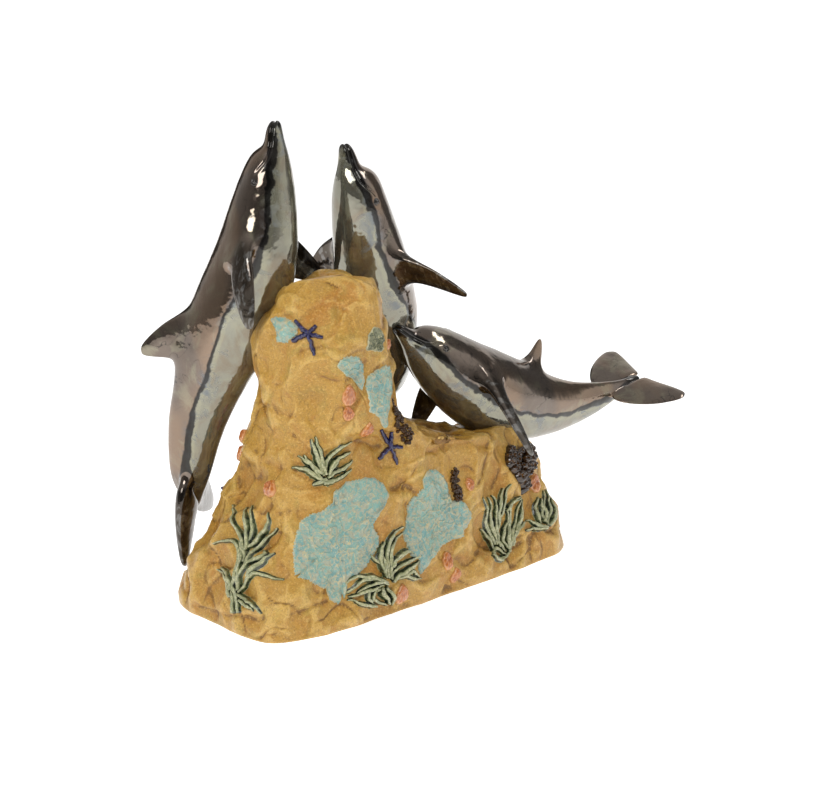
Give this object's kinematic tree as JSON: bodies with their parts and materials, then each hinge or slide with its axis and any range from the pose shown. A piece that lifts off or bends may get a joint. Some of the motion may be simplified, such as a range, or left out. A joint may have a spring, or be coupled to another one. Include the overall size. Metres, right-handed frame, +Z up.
{
  "type": "ceramic dolphin group",
  "caption": "Glazed ceramic sculpture: metallic dolphins rise round a carved ochre rock mound set with small starfish, weed, coral and shells; it stands on its flat underside.",
  "frame": {"origin": "centre of the rock mound's flat underside, on the surface it stands on", "axes": "+X along the mound's long side towards the tail of the small dolphin, +Y to the back of the group, +Z up"},
  "size_m": [0.4277, 0.2415, 0.3489],
  "materials": {
    "ochre_rock_glaze": "satin mottled ochre glaze",
    "metallic_dolphin_glaze": "mirror-gloss metallic lustre glaze, bronze brown to grey-green",
    "cobalt_glaze": "gloss cobalt blue glaze",
    "celadon_green_glaze": "gloss green glaze, dark where pooled",
    "turquoise_glaze": "crusty turquoise glaze with cream grains",
    "salmon_glaze": "gloss salmon glaze",
    "amber_brown_glaze": "gloss dark amber-brown glaze"
  },
  "bodies": {
    "root": {"rock_mound": "ochre_rock_glaze", "dolphin_left": "metallic_dolphin_glaze", "dolphin_behind": "metallic_dolphin_glaze", "dolphin_calf": "metallic_dolphin_glaze", "coral_back": "turquoise_glaze", "coral_column_left": "turquoise_glaze", "coral_column_low": "turquoise_glaze", "coral_column_mid": "turquoise_glaze", "coral_column_olive": "turquoise_glaze", "coral_front_left": "turquoise_glaze", "coral_front_right": "turquoise_glaze", "barnacles_column": "amber_brown_glaze", "barnacles_front": "amber_brown_glaze", "barnacles_ledge": "amber_brown_glaze", "shell_back": "salmon_glaze", "shell_column_foot": "salmon_glaze", "shell_column_high": "salmon_glaze", "shell_column_low": "salmon_glaze", "shell_column_right": "salmon_glaze", "shell_front_high": "salmon_glaze", "shell_front_lower": "salmon_glaze", "shell_front_middle": "salmon_glaze", "shell_front_upper": "salmon_glaze", "shell_left": "salmon_glaze", "shell_right": "salmon_glaze", "shell_side_lower": "salmon_glaze", "shell_side_upper": "salmon_glaze", "starfish_column": "cobalt_glaze", "starfish_foot": "cobalt_glaze", "starfish_side": "cobalt_glaze", "weed_back": "celadon_green_glaze", "weed_front_middle": "celadon_green_glaze", "weed_front_right": "celadon_green_glaze", "weed_left": "celadon_green_glaze", "weed_left_end": "celadon_green_glaze", "weed_right_end": "celadon_green_glaze"}
  },
  "joints": []
}
